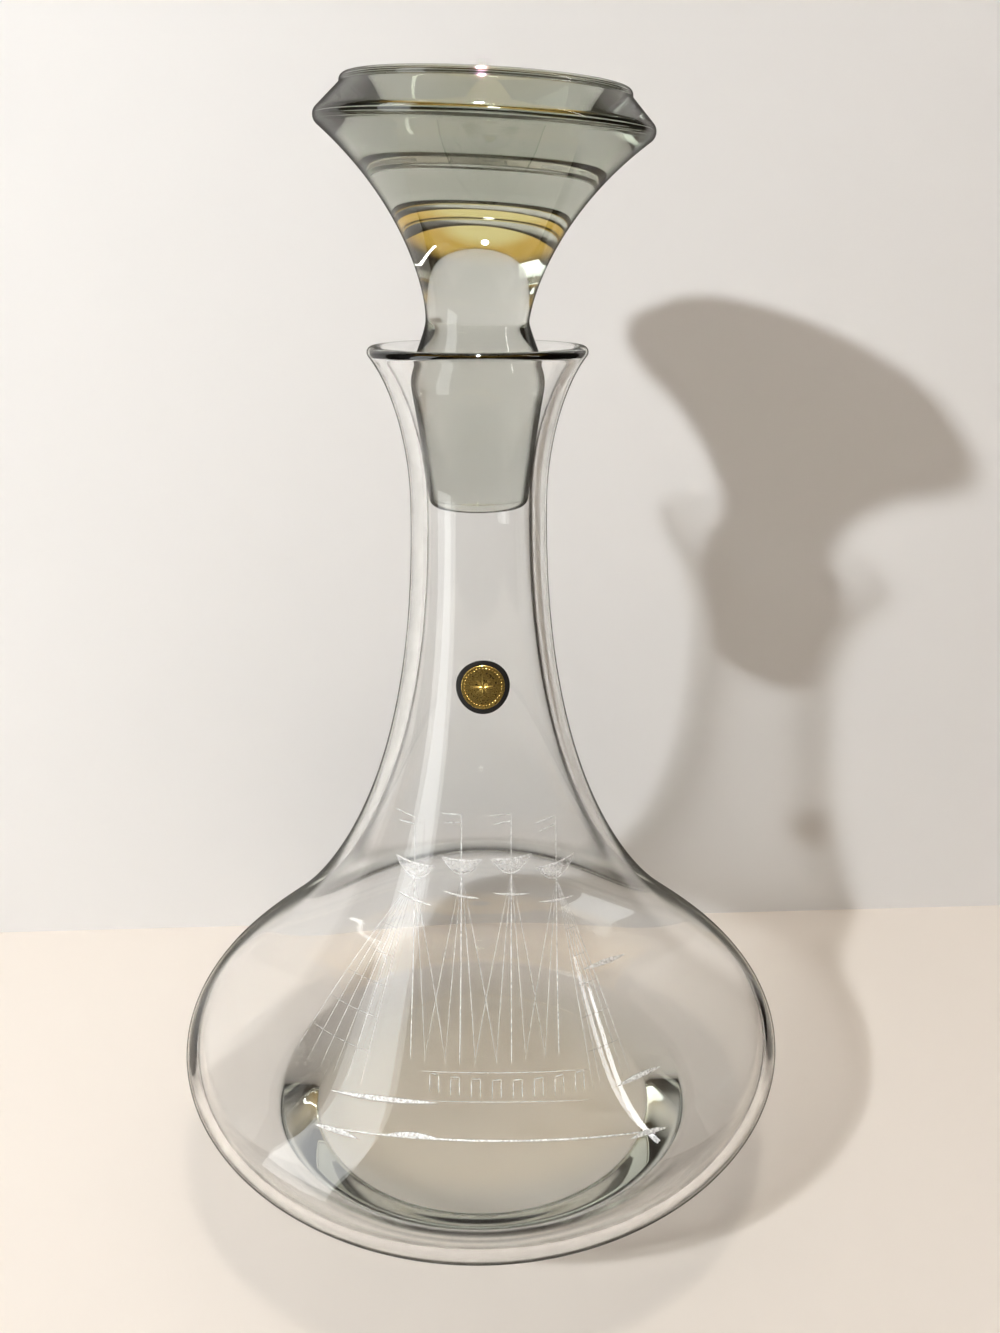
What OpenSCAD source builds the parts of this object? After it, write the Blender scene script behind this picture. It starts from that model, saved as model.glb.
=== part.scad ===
// Ship's decanter: a wide low bulb of clear blown glass with a long neck and a flared lip,
// a solid glass stopper, and a round foil label on the front of the neck.
// Millimetres, +Z up. The origin is the middle of the foot, and the label faces -Y.

/* [Bulb] */
// Largest outer diameter of the bulb
bulb_d = 178; // [160:1:200]
// Height of the bulb's widest ring above the table
bulb_h = 39; // [33:0.5:45]
// How far the bulb's curve holds upright above its widest ring
bulb_rise = 22; // [14:0.5:32]
// How far the bulb's curve holds upright below its widest ring
bulb_drop = 12; // [9:0.5:16]
// Glass thickness at the widest ring
bulb_wall = 2.6; // [2:0.1:4]

/* [Foot] */
// Outer diameter of the ring that rests on the table
foot_d = 100; // [92:1:106]
// Width of the resting ring
foot_w = 8; // [5:0.5:14]
// Height of the shallow hollow under the foot
punt_h = 1.5; // [0.5:0.1:3]
// Radius of the rounded edge of the foot
heel_round = 4; // [2:0.5:7]
// Slope of the bulb's underside where it leaves the foot
heel_angle = 40; // [34:1:44]
// How far the underside holds that slope
heel_reach = 23; // [17:0.5:26]

/* [Floor inside] */
// Height of the floor inside the bulb above the table
floor_h = 14; // [12:0.5:16]
// How far the flat floor reaches out past the resting ring
floor_lap = 12; // [8:0.5:13]
// Radius of the rounded edge of the floor
floor_round = 6; // [2:0.5:8]
// Slope of the inner face where it leaves the floor
floor_angle = 34; // [30:1:40]
// How far the inner face holds that slope
floor_reach = 11; // [8:0.5:14]
// How far the inner face holds upright below the widest ring
floor_drop = 8; // [6:0.5:10]

/* [Neck] */
// Outer diameter of the neck at its narrowest ring
neck_d = 35.8; // [33:0.2:40]
// Height of the neck's narrowest ring above the table
neck_h = 199; // [188:1:206]
// How far the neck's curve holds upright below its narrowest ring
neck_reach = 131; // [110:1:140]
// Glass thickness at the neck's narrowest ring
neck_wall = 4.3; // [3.5:0.1:5]

/* [Lip] */
// Largest diameter of the flared lip
lip_d = 55.4; // [50:0.2:62]
// Height of the top of the lip above the neck's narrowest ring
lip_rise = 39; // [35:0.5:43]
// Thickness of the rounded edge of the lip
lip_edge = 3; // [2:0.1:4]
// Angle of the flare at the edge, from upright
lip_angle = 37; // [25:1:50]
// How far the curve holds the flare's angle below the edge
lip_pull = 10; // [5:0.5:13]
// How far the neck's curve holds upright above its narrowest ring
lip_start = 13.6; // [8:0.2:18]

/* [Stopper plug] */
// Depth below the lip at which the plug seats in the neck
seat_depth = 30; // [24:0.5:34]
// Clearance between the plug and the neck at the seat
stopper_fit = 0.25; // [0.1:0.05:0.5]
// Depth of the plug's tip below the lip
plug_depth = 40; // [37:0.5:48]
// Depth of the plug's widest ring below the lip
plug_top = 10; // [7:0.5:14]
// Radius of the rounded edge of the tip
tip_round = 3; // [1:0.5:5]
// Diameter of the waist between plug and head
waist_d = 25.8; // [22:0.2:28]
// Height of the waist above the lip
waist_h = 6; // [4:0.5:9]
// How far the curve holds upright below the waist
waist_drop = 3; // [2:0.5:6]
// How far the curve holds the plug's taper above its widest ring
plug_pull = 5; // [2:0.5:6]

/* [Stopper head] */
// Diameter of the head at its rim
head_d = 79.6; // [74:0.2:88]
// Height of the rim above the lip
rim_h = 49.6; // [46:0.2:54]
// Radius of the rounded rim
rim_round = 2.4; // [1.5:0.1:4]
// Angle of the flare under the rim, from upright
flare_angle = 52; // [44:1:56]
// How far the curve holds the flare's angle below the rim
flare_pull = 27; // [20:0.5:30]
// How far the curve holds upright above the waist
waist_rise = 5; // [2:0.5:10]
// Angle of the bevel above the rim, from upright
bevel_angle = 45; // [35:1:50]
// Diameter of the flat top of the head
land_d = 67.6; // [60:0.2:70]
// Height of the flat top above the lip
land_h = 58.4; // [57:0.2:62]
// Radius of the rounded edge of the flat top
land_round = 1.4; // [0.5:0.1:1.6]
// Lean of the hand-finished head from upright
head_lean = 3.7; // [0:0.1:5]
// Direction of the lean, counted from +X
lean_towards = -42; // [-180:1:180]
// How far the round core that joins plug and head stands proud of the waist
core_proud = 0.1; // [0.08:0.01:0.2]

/* [Label] */
// Diameter of the round label
label_d = 14; // [12:0.5:20]
// Depth of the label's middle below the neck's narrowest ring
label_drop = 44.5; // [25:0.5:60]
// Turn of the label round the neck, counted from the front
label_turn = 3.3; // [-20:0.1:20]
// Thickness of the label
label_t = 0.2; // [0.1:0.05:0.4]
// Thickness of the adhesive between label and glass
label_glue = 0.05; // [0.03:0.01:0.1]

/* [Hidden] */
$fn = 96;

// Steps along the long curves, the short curves and the rounded edges
long_steps = 28;
short_steps = 12;
edge_steps = 6;

// Point at share t along a cubic curve with four control points
function curve_at(c, t) =
    pow(1 - t, 3) * c[0] + 3 * pow(1 - t, 2) * t * c[1] + 3 * (1 - t) * t * t * c[2] + pow(t, 3) * c[3];

// Direction of the curve at share t
function heading_at(c, t) =
    pow(1 - t, 2) * (c[1] - c[0]) + 2 * (1 - t) * t * (c[2] - c[1]) + t * t * (c[3] - c[2]);

// Points along a curve, without its last one
function curve(c, steps) = [for (i = [0 : steps - 1]) curve_at(c, i / steps)];

// Points along an arc, with both ends
function arc(mid, r, from, to, steps) =
    [for (i = [0 : steps]) let (a = from + (to - from) * i / steps) mid + r * [cos(a), sin(a)]];

// Share at which a rising curve reaches height z, by halving
function share_at(c, z, low = 0, high = 1, rounds = 30) =
    let (mid = (low + high) / 2)
    rounds == 0 ? mid
    : curve_at(c, mid)[1] < z ? share_at(c, z, mid, high, rounds - 1)
    : share_at(c, z, low, mid, rounds - 1);

// All points but the first
function rest(points) = [for (i = [1 : len(points) - 1]) points[i]];

// The same points in the other order
function flip(points) = [for (i = [len(points) - 1 : -1 : 0]) points[i]];

// Outer radii and the matching inner ones
bulb_r = bulb_d / 2;
neck_r = neck_d / 2;
foot_r = foot_d / 2;
floor_r = foot_r + floor_lap;
punt_r = foot_r - foot_w;
bulb_bore = bulb_r - bulb_wall;
neck_bore = neck_r - neck_wall;

// Heights above the table that follow the neck
lip_h = neck_h + lip_rise;
label_h = neck_h - label_drop;

// Middle of the rounded lip edge, and the way that the flare runs there
edge_r = lip_edge / 2;
edge_mid = [lip_d / 2 - edge_r, lip_h - edge_r];
flare_way = [sin(lip_angle), cos(lip_angle)];
flare_side = [cos(lip_angle), -sin(lip_angle)];
lip_outer_end = edge_mid + edge_r * flare_side;
lip_inner_end = edge_mid - edge_r * flare_side;

// Rounded turn up from a flat ring of radius r at height z
function heel(r, z, round, angle) = arc([r, z + round], round, -90, angle - 90, edge_steps);

// Rise from the end of that turn out to the widest ring
function rise_curve(start, angle, reach, wide, drop) = [
    start,
    start + reach * [cos(angle), sin(angle)],
    [wide, bulb_h - drop],
    [wide, bulb_h]
];

// Shoulder from the widest ring up to the narrowest ring of the neck
function shoulder_curve(wide, narrow) = [
    [wide, bulb_h],
    [wide, bulb_h + bulb_rise],
    [narrow, neck_h - neck_reach],
    [narrow, neck_h]
];

// Flare from the narrowest ring of the neck out to the lip
function lip_curve(narrow, end) = [
    [narrow, neck_h],
    [narrow, neck_h + lip_start],
    end - lip_pull * flare_way,
    end
];

heel_outer = heel(foot_r, 0, heel_round, heel_angle);
heel_inner = heel(floor_r, floor_h, floor_round, floor_angle);
rise_outer = rise_curve(heel_outer[edge_steps], heel_angle, heel_reach, bulb_r, bulb_drop);
rise_inner = rise_curve(heel_inner[edge_steps], floor_angle, floor_reach, bulb_bore, floor_drop);
shoulder_outer = shoulder_curve(bulb_r, neck_r);
lip_inner = lip_curve(neck_bore, lip_inner_end);

outer_points = concat(
    heel_outer,
    rest(curve(rise_outer, short_steps)),
    curve(shoulder_outer, long_steps),
    curve(lip_curve(neck_r, lip_outer_end), short_steps)
);
edge_points = arc(edge_mid, edge_r, -lip_angle, 180 - lip_angle, edge_steps);
inner_points = concat(
    heel_inner,
    rest(curve(rise_inner, short_steps)),
    curve(shoulder_curve(bulb_bore, neck_bore), long_steps),
    curve(lip_inner, short_steps)
);
punt_points = [for (i = [0 : edge_steps]) let (s = i / edge_steps) [punt_r * s, punt_h * (1 - s * s)]];

// Seat: the plug's straight side touches the neck's bore at one ring, along its slope there
seat_z = lip_h - seat_depth;
seat_share = share_at(lip_inner, seat_z);
seat_heading = heading_at(lip_inner, seat_share);
seat_slope = seat_heading[0] / seat_heading[1];
seat_r = curve_at(lip_inner, seat_share)[0] - stopper_fit;
function plug_r(z) = seat_r + seat_slope * (z - seat_z);

// Plug, from the tip up to the waist
tip_z = lip_h - plug_depth;
top_z = lip_h - plug_top;
waist_z = lip_h + waist_h;
waist_r = waist_d / 2;
taper_angle = atan(seat_slope);
tip_mid = [plug_r(tip_z + tip_round) - tip_round / cos(taper_angle), tip_z + tip_round];
tip_points = arc(tip_mid, tip_round, -90, -taper_angle, edge_steps);
neckdown_curve = [
    [plug_r(top_z), top_z],
    [plug_r(top_z + plug_pull), top_z + plug_pull],
    [waist_r, waist_z - waist_drop],
    [waist_r, waist_z]
];

// Head, with heights counted from the waist
head_r = head_d / 2;
land_r = land_d / 2;
rim_mid = [head_r - rim_round, rim_h - waist_h];
rim_points = arc(rim_mid, rim_round, -flare_angle, bevel_angle, edge_steps);
rim_start = rim_points[0];
bevel_start = rim_points[edge_steps];
bevel_end_z = bevel_start[1] + (bevel_start[0] - land_r) / tan(bevel_angle);
land_z = land_h - waist_h;
land_points = arc([land_r - land_round, land_z - land_round], land_round, 0, 90, edge_steps);
trumpet_curve = [
    [waist_r, 0],
    [waist_r, waist_rise],
    rim_start - flare_pull * [sin(flare_angle), cos(flare_angle)],
    rim_start
];

// Vessel: one wall of glass, open at the lip and hollow under the foot
module decanter_body() {
    color([0.85, 0.9, 0.9, 0.35])
        rotate_extrude()
            polygon(concat(outer_points, edge_points, flip(inner_points), [[0, floor_h]], punt_points));
}

// Upright plug, with its rounded tip below and the waist above
module plug() {
    rotate_extrude()
        polygon(concat([[0, tip_z]], tip_points, curve(neckdown_curve, short_steps),
            [[waist_r, waist_z], [0, waist_z]]));
}

// Head, from the waist up through the flare, the rim and the bevel to the flat top
module head() {
    rotate_extrude()
        polygon(concat([[0, 0]], curve(trumpet_curve, short_steps), rim_points,
            [[land_r, bevel_end_z]], land_points, [[0, land_z]]));
}

// Stopper: plug and leaning head in one piece of glass, joined by a round core at the waist
module stopper() {
    color([0.8, 0.86, 0.88, 0.5]) {
        plug();
        translate([0, 0, waist_z]) {
            sphere(r = waist_r + core_proud);
            rotate([0, 0, lean_towards])
                rotate([0, head_lean, 0])
                    head();
        }
    }
}

// Label: a round patch of foil that follows the neck's outer face
module neck_label() {
    face = curve(shoulder_outer, long_steps);
    under = [for (p = face) p + [label_glue, 0]];
    over = [for (p = face) p + [label_glue + label_t, 0]];
    color([0.8, 0.62, 0.25])
        intersection() {
            rotate_extrude()
                polygon(concat(under, flip(over)));
            translate([0, 0, label_h])
                rotate([90, 0, label_turn])
                    cylinder(d = label_d, h = bulb_r);
        }
}

decanter_body();
stopper();
neck_label();
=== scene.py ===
"""Ship's decanter: a blown-glass vessel, a solid glass stopper, a foil label and an engraved ship."""
import logging
import math
from collections.abc import Callable, Iterator, Mapping, Sequence
from dataclasses import dataclass
from enum import Enum

import bpy
from bpy.types import ID, Material, Mesh, Node, NodeTree, Object
from bpy.types import NodeSocket as Socket
from mathutils import Matrix, Vector, noise


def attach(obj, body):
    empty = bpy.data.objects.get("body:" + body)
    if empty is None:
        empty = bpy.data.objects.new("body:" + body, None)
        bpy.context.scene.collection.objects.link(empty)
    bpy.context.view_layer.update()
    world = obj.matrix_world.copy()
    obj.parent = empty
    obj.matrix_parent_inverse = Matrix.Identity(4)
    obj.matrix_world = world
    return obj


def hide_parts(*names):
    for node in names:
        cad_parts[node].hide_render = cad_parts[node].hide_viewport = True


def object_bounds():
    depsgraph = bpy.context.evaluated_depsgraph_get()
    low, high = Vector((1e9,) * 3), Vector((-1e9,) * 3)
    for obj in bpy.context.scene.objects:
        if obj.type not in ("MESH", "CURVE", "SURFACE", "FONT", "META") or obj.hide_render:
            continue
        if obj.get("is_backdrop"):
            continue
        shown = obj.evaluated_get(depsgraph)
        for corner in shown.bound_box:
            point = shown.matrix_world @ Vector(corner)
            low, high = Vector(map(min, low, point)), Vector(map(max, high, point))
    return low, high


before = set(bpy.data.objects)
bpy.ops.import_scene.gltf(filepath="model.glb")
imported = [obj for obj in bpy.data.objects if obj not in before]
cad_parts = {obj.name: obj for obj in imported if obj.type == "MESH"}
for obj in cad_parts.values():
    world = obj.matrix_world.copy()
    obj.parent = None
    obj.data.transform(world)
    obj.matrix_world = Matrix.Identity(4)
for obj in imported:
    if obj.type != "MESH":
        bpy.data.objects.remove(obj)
CAD_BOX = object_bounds()

logging.basicConfig(level=logging.INFO, format="%(name)s: %(message)s")
LOG = logging.getLogger("decanter")

MM = 0.001
BEAD_SUBDIVISIONS = 3
STROKE_SIDES = 8

# Names of the values that meshes carry at their points
OUTLINE_START = "outline_start"
HALF_WIDTH = "half_width"
FROST = "frost"
OUT_OF_GLASS = "out_of_glass"

Point = tuple[float, float]
Spot = tuple[float, float, float]
Colour = tuple[float, float, float]
Level = Socket | float
Tone = Socket | Colour
Inputs = Mapping[str | int, object]


class Body(Enum):
    """The rigid bodies that pieces ride on."""

    DECANTER = "decanter"
    STOPPER = "stopper"


class Slot(Enum):
    """The record's material slots."""

    CLEAR_GLASS = "clear_glass"
    STOPPER_GLASS = "stopper_glass"
    GOLD_FOIL = "gold_foil"


class LampUse(Enum):
    """What a lamp does: it lights surfaces, or it shows in glass and metal."""

    LIGHT = "light"
    MIRROR = "mirror"


class LampFace(Enum):
    """Shape of a lamp's face."""

    ROUND = "ELLIPSE"
    STRIP = "RECTANGLE"


class Ramp(Enum):
    """How a ramp goes from its start to its end."""

    EASED = "SMOOTHSTEP"
    STRAIGHT = "LINEAR"


class Sum(Enum):
    """What a node makes of two values."""

    PLUS = "ADD"
    MINUS = "SUBTRACT"
    TIMES = "MULTIPLY"
    LOWER = "MINIMUM"
    HIGHER = "MAXIMUM"


# Curves and meshes


def cubic_at(control: Sequence[Point], t: float) -> Point:
    """Radius and height at a share t of the way along a cubic curve with four control points."""
    weights = ((1 - t) ** 3, 3 * (1 - t) ** 2 * t, 3 * (1 - t) * t * t, t**3)
    return (
        sum(w * p[0] for w, p in zip(weights, control)),
        sum(w * p[1] for w, p in zip(weights, control)),
    )


def cubic(control: Sequence[Point], steps: int) -> list[Point]:
    """Points along a cubic curve in a number of steps, without its last one."""
    return [cubic_at(control, i / steps) for i in range(steps)]


def arc(middle: Point, radius: float, start: float, end: float, steps: int) -> list[Point]:
    """Points round a middle from a start to an end angle in degrees, both included, in steps."""
    angles = (math.radians(start + (end - start) * i / steps) for i in range(steps + 1))
    return [(middle[0] + radius * math.cos(a), middle[1] + radius * math.sin(a)) for a in angles]


def between(start: Point, end: Point, steps: int) -> list[Point]:
    """Points on the straight line between two others in steps, without those two."""
    (r0, z0), (r1, z1) = start, end
    return [(r0 + (r1 - r0) * i / steps, z0 + (z1 - z0) * i / steps) for i in range(1, steps)]


def share_at(control: Sequence[Point], height: float, halvings: int = 40) -> float:
    """Share of a rising cubic curve at which it reaches a height, found by halving.

    Args:
        control: The curve's four control points.
        height: The height to reach.
        halvings: How often the range is halved.

    Returns:
        The share, from 0 to 1.
    """
    low, high = 0.0, 1.0
    for _ in range(halvings):
        mid = (low + high) / 2
        if cubic_at(control, mid)[1] < height:
            low = mid
        else:
            high = mid
    return (low + high) / 2


def smooth_step(x: float) -> float:
    """Eases from 0 to 1 as x goes from 0 to 1."""
    x = min(1.0, max(0.0, x))
    return x * x * (3 - 2 * x)


def new_object(name: str, data: ID) -> Object:
    """Links a mesh, lamp or camera into the scene as an object at the origin.

    Args:
        name: The object's name.
        data: Its mesh, lamp or camera.

    Returns:
        The new object.
    """
    piece = bpy.data.objects.new(name, data)
    bpy.context.scene.collection.objects.link(piece)
    return piece


def store(mesh: Mesh, name: str, values: Sequence[float]) -> None:
    """Stores a value at each point of a mesh, under a name."""
    mesh.attributes.new(name, "FLOAT", "POINT").data.foreach_set("value", values)


def lathe(
    name: str, profile: Sequence[Point], sides: int, place: Callable[[float, float, float], Vector]
) -> Object:
    """Turns a profile that starts and ends on the axis into one closed smooth skin.

    Args:
        name: The piece's name.
        profile: Radius and height of each ring, anticlockwise, with both ends at radius 0.
        sides: Faces round the axis.
        place: Gives a point in space from a radius, a height and an angle.

    Returns:
        The new piece.
    """
    rings = profile[1:-1]
    verts = [place(0.0, profile[0][1], 0.0)]
    for radius, height in rings:
        verts += [place(radius, height, math.tau * k / sides) for k in range(sides)]
    verts.append(place(0.0, profile[-1][1], 0.0))
    end, top = len(verts) - 1, len(rings) - 1

    def at(ring: int, side: int) -> int:
        """Number of the point on a ring at a side."""
        return 1 + ring * sides + side % sides

    faces: list[tuple[int, ...]] = [(0, at(0, k + 1), at(0, k)) for k in range(sides)]
    for ring in range(top):
        faces += [
            (at(ring, k), at(ring, k + 1), at(ring + 1, k + 1), at(ring + 1, k)) for k in range(sides)
        ]
    faces += [(end, at(top, k), at(top, k + 1)) for k in range(sides)]
    mesh = bpy.data.meshes.new(name)
    mesh.from_pydata([v[:] for v in verts], [], faces)
    mesh.shade_smooth()
    mesh.update()
    return new_object(name, mesh)


def outlined(piece: Object, slant: Callable[[float, float], float]) -> None:
    """Gives each point of glass the slant, 0 face on to 1 edge on, at which its painted outline starts."""
    places = (v.co for v in piece.data.vertices)
    store(piece.data, OUTLINE_START, [slant(math.hypot(p.x, p.y), p.z) for p in places])


# Node trees


@dataclass(frozen=True)
class Nodes:
    """A node tree, with short ways to add to it."""

    tree: NodeTree

    def give(self, node: Node, inputs: Inputs) -> None:
        """Links or sets inputs of a node.

        Args:
            node: The node.
            inputs: A socket to link or a value to set, by the input's name or place.
        """
        for key, value in inputs.items():
            target = node.inputs[key]
            if isinstance(value, Socket):
                self.tree.links.new(value, target)
            elif target.type == "RGBA":
                target.default_value = (*value, 1.0)
            else:
                target.default_value = value

    def add(self, kind: str, inputs: Inputs | None = None, **settings: object) -> Node:
        """Adds a node.

        Args:
            kind: The kind of node.
            inputs: A socket to link or a value to set, by the input's name or place.
            settings: The node's own settings, which come before its inputs.

        Returns:
            The new node.
        """
        node = self.tree.nodes.new(kind)
        for name, value in settings.items():
            setattr(node, name, value)
        self.give(node, inputs or {})
        return node

    def combine(self, way: Sum, first: Socket, second: Level) -> Socket:
        """Socket with what a sum makes of two values."""
        return self.add("ShaderNodeMath", {0: first, 1: second}, operation=way.value).outputs["Value"]

    def ramp(
        self, value: Socket, start: Level, end: Level, low: float = 0.0, high: float = 1.0,
        way: Ramp = Ramp.EASED,
    ) -> Socket:
        """Socket with a level that goes from low to high as a value goes from a start to an end."""
        inputs = {"Value": value, "From Min": start, "From Max": end, "To Min": low, "To Max": high}
        return self.add("ShaderNodeMapRange", inputs, interpolation_type=way.value).outputs["Result"]

    def blend(self, share: Socket, first: Tone, second: Tone) -> Socket:
        """Socket with a colour that goes over from a first to a second by a share."""
        inputs = {"Factor": share, "A": first, "B": second}
        return self.add("ShaderNodeMix", inputs, data_type="RGBA").outputs["Result"]

    def mix(self, share: Socket, first: Socket, second: Socket) -> Socket:
        """Socket with a shader that goes over from a first to a second by a share."""
        return self.add("ShaderNodeMixShader", {"Fac": share, 1: first, 2: second}).outputs["Shader"]

    def clear(self, tint: Tone) -> Socket:
        """Socket with a shader that lets light straight through, with a tint."""
        return self.add("ShaderNodeBsdfTransparent", {"Color": tint}).outputs["BSDF"]

    def stored(self, name: str) -> Socket:
        """Socket with a value that the piece's mesh carries at its points."""
        return self.add("ShaderNodeAttribute", attribute_name=name).outputs["Fac"]

    def place(self) -> Socket:
        """Socket with the place on the piece, in its own metres."""
        return self.add("ShaderNodeTexCoord").outputs["Object"]

    def grain(self, scale: float, detail: float = 2.0) -> Socket:
        """Socket with noise around one half, by its cells per metre and its octaves of detail."""
        inputs = {"Vector": self.place(), "Scale": scale, "Detail": detail}
        return self.add("ShaderNodeTexNoise", inputs).outputs["Fac"]

    def spread(self, grain: Socket, low: float, high: float, middle: Point = (0.35, 0.65)) -> Socket:
        """Socket with the middle of a noise spread from low to high."""
        return self.ramp(grain, *middle, low, high, Ramp.STRAIGHT)

    def bump(self, height: Socket, depth: float) -> Socket:
        """Socket with the normals of a bump that is a depth in metres high."""
        inputs = {"Height": height, "Strength": 1.0, "Distance": depth}
        return self.add("ShaderNodeBump", inputs).outputs["Normal"]

    def seen_in_glass(self) -> tuple[Socket, Socket]:
        """Ways in which a place is seen in glass or metal.

        Returns:
            Socket with 1 where it is seen in or through them, and socket with 1 where it is mirrored too.
        """
        path = self.add("ShaderNodeLightPath").outputs
        seen = self.combine(Sum.HIGHER, path["Is Glossy Ray"], path["Is Transmission Ray"])
        return seen, self.combine(Sum.LOWER, seen, path["Glossy Depth"])


class Grower:
    """A geometry node group with named inputs, which grows a plain mesh from a base."""

    def __init__(self, name: str, inputs: Mapping[str, str]) -> None:
        """Starts the group.

        Args:
            name: The group's name.
            inputs: Kind of each input by name, besides the geometry and the material.
        """
        tree = bpy.data.node_groups.new(name, "GeometryNodeTree")
        socket = tree.interface.new_socket
        socket("Geometry", in_out="INPUT", socket_type="NodeSocketGeometry")
        kinds = {**inputs, "Material": "NodeSocketMaterial"}
        self.identifiers: dict[str, str] = {
            label: socket(label, in_out="INPUT", socket_type=kind).identifier
            for label, kind in kinds.items()
        }
        socket("Geometry", in_out="OUTPUT", socket_type="NodeSocketGeometry")
        self.nodes = Nodes(tree)
        self.given = self.nodes.add("NodeGroupInput").outputs

    def end(self, shapes: Socket) -> None:
        """Ends the group with its shapes made real, smooth and coated.

        Args:
            shapes: Socket with the shapes.
        """
        add = self.nodes.add
        real = add("GeometryNodeRealizeInstances", {"Geometry": shapes}).outputs["Geometry"]
        smooth = add("GeometryNodeSetShadeSmooth", {"Geometry": real}).outputs["Geometry"]
        coat = add("GeometryNodeSetMaterial", {"Geometry": smooth, "Material": self.given["Material"]})
        add("NodeGroupOutput", {"Geometry": coat.outputs["Geometry"]})

    def grow(self, name: str, base: Mesh, values: Mapping[str, object]) -> Object:
        """Runs the group on a base and keeps the result as a plain mesh.

        Args:
            name: The piece's name.
            base: The mesh to start from.
            values: The group's inputs by name.

        Returns:
            The new piece.
        """
        seed = new_object(name + "_seed", base)
        modifier = seed.modifiers.new("grow", "NODES")
        modifier.node_group = self.nodes.tree
        for label, value in values.items():
            modifier[self.identifiers[label]] = value
        graph = bpy.context.evaluated_depsgraph_get()
        mesh = bpy.data.meshes.new_from_object(seed.evaluated_get(graph), depsgraph=graph)
        mesh.name = name
        coats = [coat for coat in mesh.materials if coat]
        mesh.materials.clear()
        for coat in coats:
            mesh.materials.append(coat)
        bpy.data.objects.remove(seed)
        return new_object(name, mesh)


# Finishes


def blank_material(name: str) -> tuple[Material, Nodes, Node, Node]:
    """A material with a Principled shader.

    Args:
        name: The material's name.

    Returns:
        The material, its nodes, its Principled node and its output node.
    """
    material = bpy.data.materials.new(name)
    material.use_nodes = True
    tree = material.node_tree
    return material, Nodes(tree), tree.nodes["Principled BSDF"], tree.nodes["Material Output"]


@dataclass(frozen=True)
class GlassFinish:
    """Clear blown glass, faintly coloured where light goes far through it, with painted shade towards its
    edges and a painted outline where it is seen edge on.
    """

    name: str
    face_tint: Colour = (1.0, 1.0, 1.0)
    # Painted shade: the glass's colour towards edge-on views, and the slant at which that darkening
    # starts.
    painted_edge_shade: Colour = (0.72, 0.72, 0.7)
    edge_shade_start: float = 0.76
    ior: float = 1.5
    roughness: float = 0.0
    wave: float = 22.0
    wave_detail: float = 1.0
    wave_depth: float = 0.05 * MM
    absorb_colour: Colour = (0.66, 0.7, 0.63)
    absorb_density: float = 15.0
    shadow_face: float = 0.985
    shadow_edge: float = 0.6
    # The painted outline at edge-on views: its cover, the width of each rim, a pale first rim of painted
    # light and a dark rim of painted shade.
    outline_cover: float = 0.85
    outline_fade: float = 0.1
    painted_rim_tint: Colour = (0.95, 0.95, 0.94)
    painted_outline_shade: Colour = (0.08, 0.075, 0.06)

    def outline(self, nodes: Nodes, facing: Socket, glass: Socket) -> Socket:
        """Paints a thin outline on glass where it is seen nearly edge on: a pale rim of painted light,
        then a dark rim of painted shade.

        Args:
            nodes: The material's nodes.
            facing: Socket with the slant to the eye.
            glass: Socket with the glass.

        Returns:
            Socket with the outlined glass.
        """
        start = nodes.stored(OUTLINE_START)
        middle = nodes.combine(Sum.PLUS, start, self.outline_fade)
        end = nodes.combine(Sum.PLUS, middle, self.outline_fade)
        # Painted outline: straight-through tints take the place of the glass near edge on.
        cover = nodes.ramp(facing, start, middle, high=self.outline_cover)
        tone = nodes.blend(nodes.ramp(facing, middle, end), self.painted_rim_tint, self.painted_outline_shade)
        return nodes.mix(cover, glass, nodes.clear(tone))

    def lit_through(self, nodes: Nodes, facing: Socket, glass: Socket) -> Socket:
        """Lets the light of the lamps and of the room straight through glass, less at its edges.

        Args:
            nodes: The material's nodes.
            facing: Socket with the slant to the light.
            glass: Socket with the glass.

        Returns:
            Socket with the glass that lets light through.
        """
        path = nodes.add("ShaderNodeLightPath").outputs
        passing = nodes.combine(Sum.HIGHER, path["Is Shadow Ray"], path["Is Diffuse Ray"])
        shade = nodes.ramp(facing, 0.0, 1.0, self.shadow_face, self.shadow_edge, Ramp.STRAIGHT)
        return nodes.mix(passing, glass, nodes.clear(shade))

    def material(self) -> Material:
        """Builds the glass.

        Returns:
            The material.
        """
        material, nodes, glass, output = blank_material(self.name)
        facing = nodes.add("ShaderNodeLayerWeight").outputs["Facing"]
        # Painted shade: the glass darkens as it turns edge on to the eye.
        edge = nodes.ramp(facing, self.edge_shade_start, 1.0)
        surface = {
            "Base Color": nodes.blend(edge, self.face_tint, self.painted_edge_shade),
            "Roughness": self.roughness,
            "IOR": self.ior,
            "Transmission Weight": 1.0,
            "Normal": nodes.bump(nodes.grain(self.wave, self.wave_detail), self.wave_depth),
        }
        nodes.give(glass, surface)
        lined = self.outline(nodes, facing, glass.outputs["BSDF"])
        depth = {"Color": self.absorb_colour, "Density": self.absorb_density}
        inside = nodes.add("ShaderNodeVolumeAbsorption", depth).outputs["Volume"]
        nodes.give(output, {"Surface": self.lit_through(nodes, facing, lined), "Volume": inside})
        return material


@dataclass(frozen=True)
class CutFinish:
    """Frosted floor of a wheel-cut line in glass, patchy as a hand-held wheel leaves it."""

    name: str = "frosted_cut"
    colour: Colour = (0.93, 0.94, 0.94)
    roughness: float = 0.55
    cover: Point = (0.3, 0.95)
    grain: float = 1500.0

    def material(self) -> Material:
        """Builds the frost, as dense as each stroke says.

        Returns:
            The material.
        """
        material, nodes, frost, _ = blank_material(self.name)
        patches = nodes.spread(nodes.grain(self.grain), *self.cover)
        cover = nodes.combine(Sum.TIMES, patches, nodes.stored(FROST))
        nodes.give(frost, {"Base Color": self.colour, "Roughness": self.roughness, "Alpha": cover})
        return material


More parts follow.
